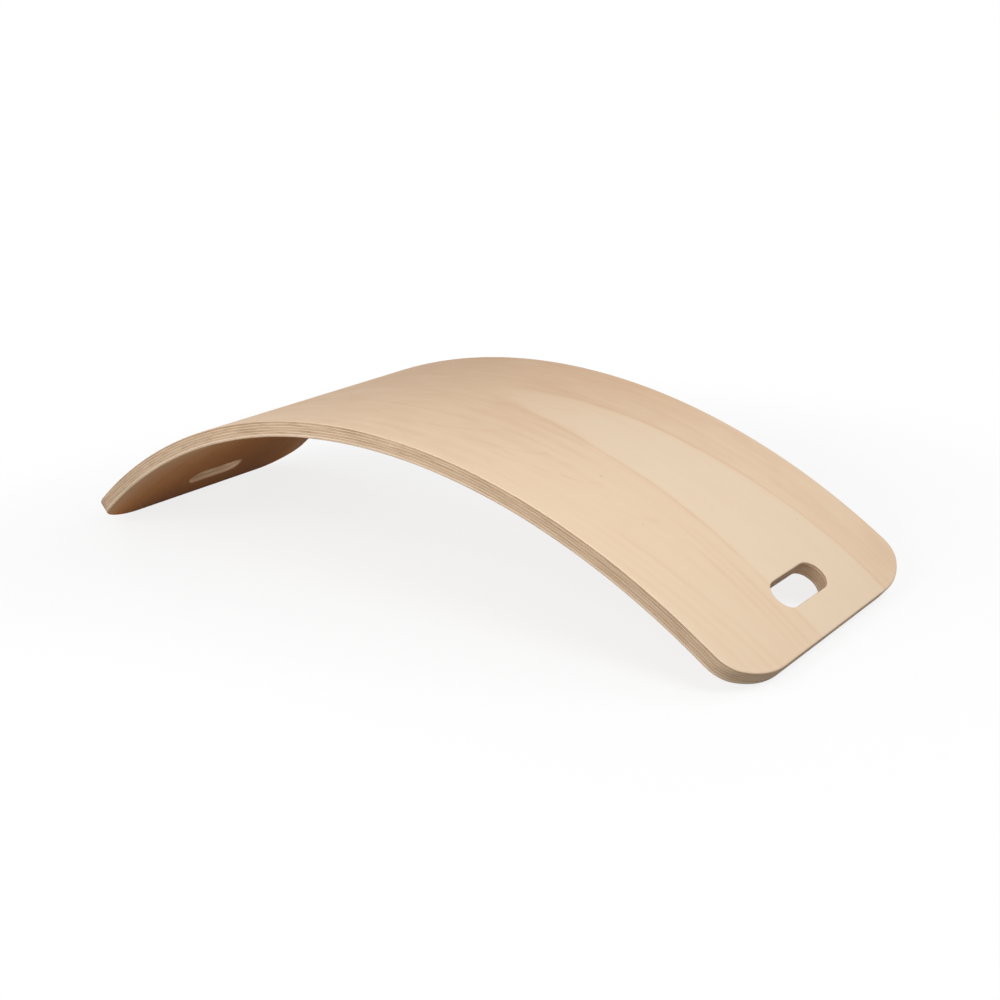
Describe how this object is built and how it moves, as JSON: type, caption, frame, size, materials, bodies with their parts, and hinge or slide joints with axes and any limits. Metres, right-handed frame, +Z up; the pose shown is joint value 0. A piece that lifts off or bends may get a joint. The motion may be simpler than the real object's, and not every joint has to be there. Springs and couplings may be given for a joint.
{
  "type": "rocker board",
  "caption": "Bent plywood arch with rounded ends and a hand slot near each end; stands as a low bridge or rocks on its curved back.",
  "frame": {"origin": "on the floor under the crest, with the board standing as an arch on the lower arrises of its two ends", "axes": "+X along the board from the crest towards the right-hand end, +Y across the board, +Z up"},
  "size_m": [0.8684, 0.3, 0.1697],
  "materials": {
    "face_veneer": "clear matt lacquer over sanded long-grain veneer",
    "long_ply": "clear matt lacquer over sanded side grain",
    "cross_ply": "clear matt lacquer over sanded end grain",
    "glue": "set resin film between two plies"
  },
  "bodies": {
    "root": {"upper_face_veneer": "face_veneer", "glue_line_1": "glue", "cross_ply_1": "cross_ply", "glue_line_2": "glue", "long_ply_1": "long_ply", "glue_line_3": "glue", "cross_ply_2": "cross_ply", "glue_line_4": "glue", "long_ply_2": "long_ply", "glue_line_5": "glue", "cross_ply_3": "cross_ply", "glue_line_6": "glue", "long_ply_3": "long_ply", "glue_line_7": "glue", "cross_ply_4": "cross_ply", "glue_line_8": "glue", "long_ply_4": "long_ply", "glue_line_9": "glue", "cross_ply_5": "cross_ply", "glue_line_10": "glue", "long_ply_5": "long_ply", "glue_line_11": "glue", "cross_ply_6": "cross_ply", "glue_line_12": "glue", "lower_face_veneer": "face_veneer"}
  },
  "joints": []
}
